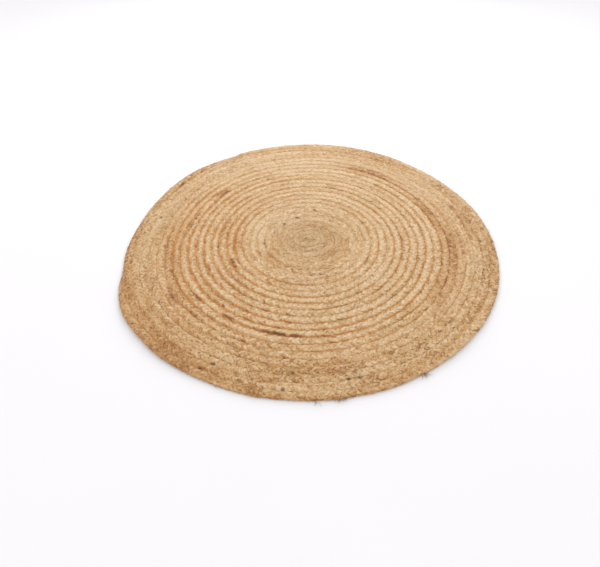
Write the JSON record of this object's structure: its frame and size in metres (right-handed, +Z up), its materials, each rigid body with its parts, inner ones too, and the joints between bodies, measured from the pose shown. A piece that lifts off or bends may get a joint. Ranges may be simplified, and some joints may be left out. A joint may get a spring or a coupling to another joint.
{
  "type": "round braided rug",
  "caption": "Round flat area rug: a jute braid coiled as a spiral from the middle outwards and sewn edge to edge, with a tapered tail tucked in at its rim.",
  "frame": {"origin": "middle of the outline's box, on the floor under the rug", "axes": "+Z up out of the rug's face; the coil runs clockwise outwards as seen from +Z, and its tail ends towards -X, a little towards -Y"},
  "size_m": [1.1828, 1.2046, 0.009],
  "materials": {
    "jute_straw": "natural undyed jute, pale straw, matt with a soft fibre sheen",
    "jute_golden": "natural undyed jute, golden brown, matt with a soft fibre sheen",
    "jute_tan": "natural undyed jute, tan, matt with a soft fibre sheen",
    "sewing_yarn": "thin twisted jute yarn, brown, matt"
  },
  "bodies": {
    "root": {"braid_length_01": "jute_straw", "braid_length_02": "jute_tan", "braid_length_03": "jute_straw", "braid_length_04": "jute_golden", "braid_length_05": "jute_straw", "braid_length_06": "jute_tan", "braid_length_07": "jute_straw", "braid_length_08": "jute_golden", "braid_length_09": "jute_straw", "braid_length_10": "jute_tan", "braid_length_11": "jute_straw", "braid_length_12": "jute_golden", "sewing_yarn_01": "sewing_yarn", "sewing_yarn_02": "sewing_yarn", "sewing_yarn_03": "sewing_yarn", "sewing_yarn_04": "sewing_yarn", "sewing_yarn_05": "sewing_yarn", "sewing_yarn_06": "sewing_yarn", "sewing_yarn_07": "sewing_yarn", "sewing_yarn_08": "sewing_yarn"}
  },
  "joints": []
}
